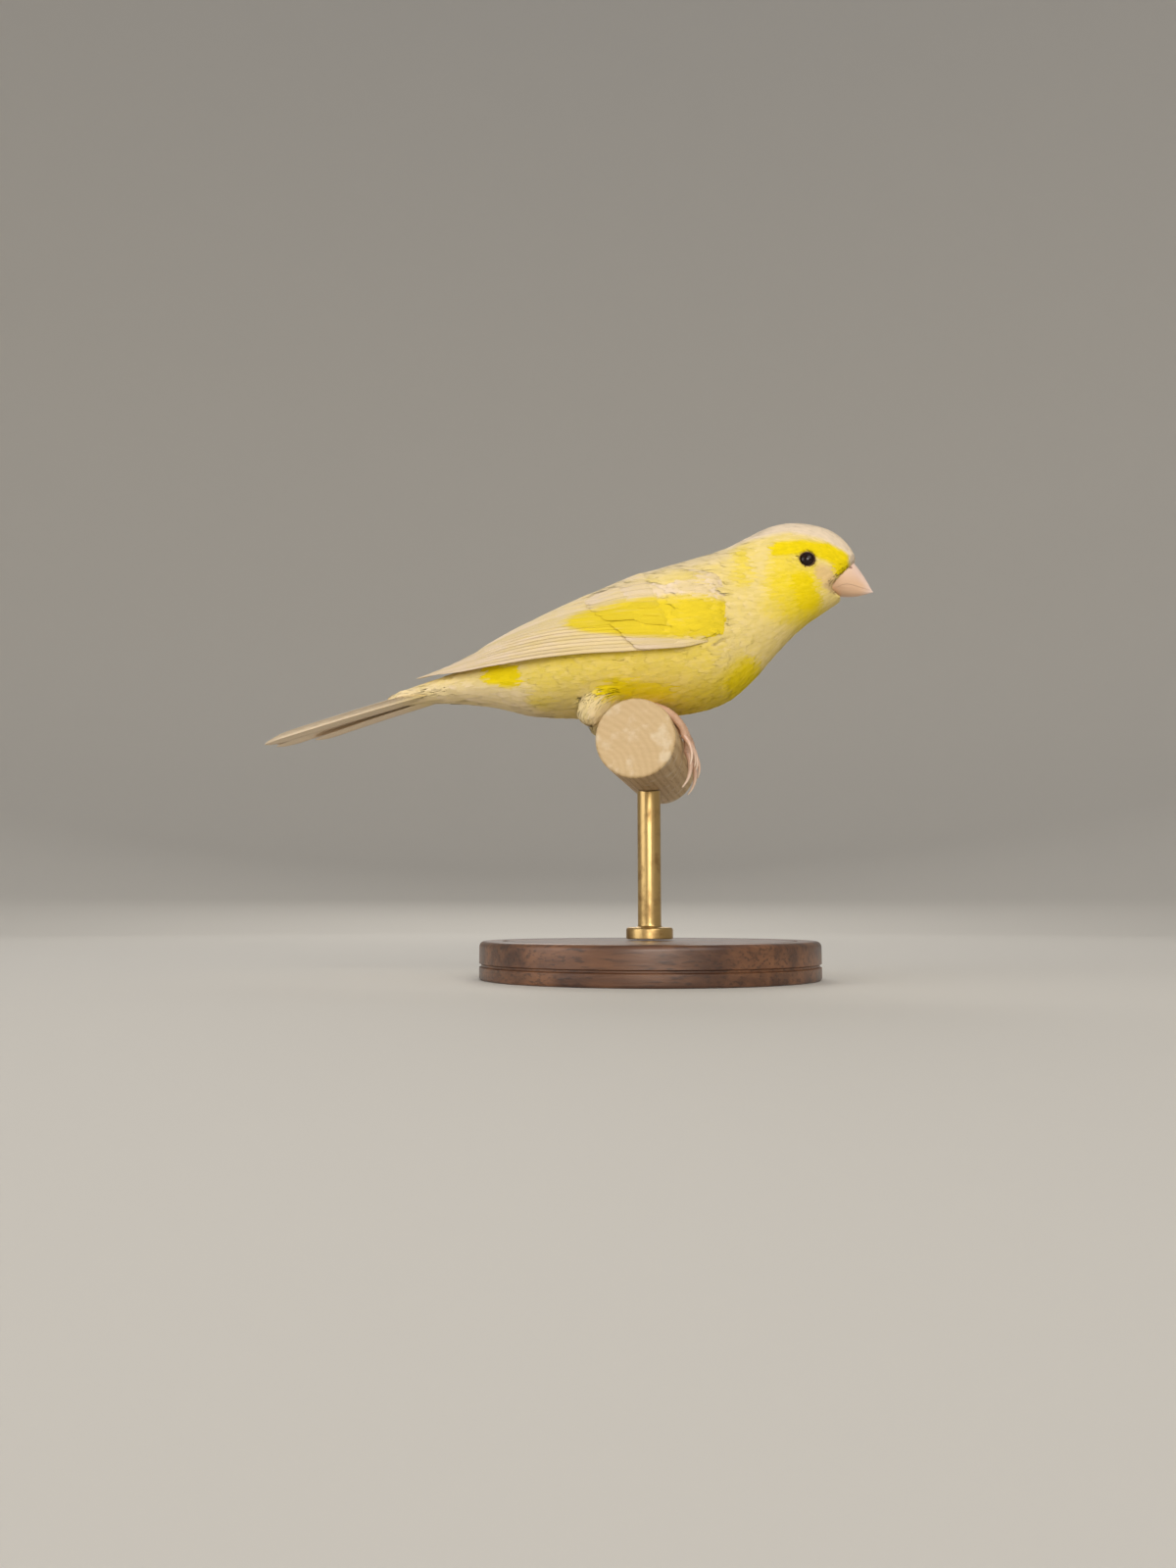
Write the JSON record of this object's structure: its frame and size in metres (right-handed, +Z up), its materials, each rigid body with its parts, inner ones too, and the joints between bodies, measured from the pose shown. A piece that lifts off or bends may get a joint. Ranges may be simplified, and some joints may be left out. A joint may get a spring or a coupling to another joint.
{
  "type": "canary",
  "caption": "Life-size canary crouched on a short wooden dowel perch, held by a brass rod on a round wooden base.",
  "frame": {"origin": "centre of the stand base's underside, straight below the middle of the dowel", "axes": "+X is the way the bird faces, +Y its left side and the line of the dowel, +Z up"},
  "size_m": [0.1349, 0.072, 0.0977],
  "materials": {
    "face_feathers": "soft matt feathers, lemon yellow over the face",
    "body_feathers": "soft matt feathers, pale yellow tipped with white",
    "flight_feathers": "smooth satin feathers, white",
    "bill": "smooth pinkish horn with a soft gloss",
    "eye": "wet gloss, nearly black",
    "foot_skin": "scaled pinkish skin, claws of pale horn",
    "dowel": "bare sanded pale wood",
    "stand_brass": "satin brass",
    "stand_wood": "dark turned wood with a satin varnish"
  },
  "bodies": {
    "root": {"head": "face_feathers", "neck": "body_feathers", "torso": "body_feathers", "tail": "flight_feathers", "wing_left": "flight_feathers", "wing_right": "flight_feathers", "thigh_left": "body_feathers", "thigh_right": "body_feathers", "bill_upper": "bill", "bill_lower": "bill", "eye_left": "eye", "eye_right": "eye", "foot_left": "foot_skin", "foot_right": "foot_skin", "perch": "dowel", "stand_rod": "stand_brass", "stand_base": "stand_wood"}
  },
  "joints": []
}
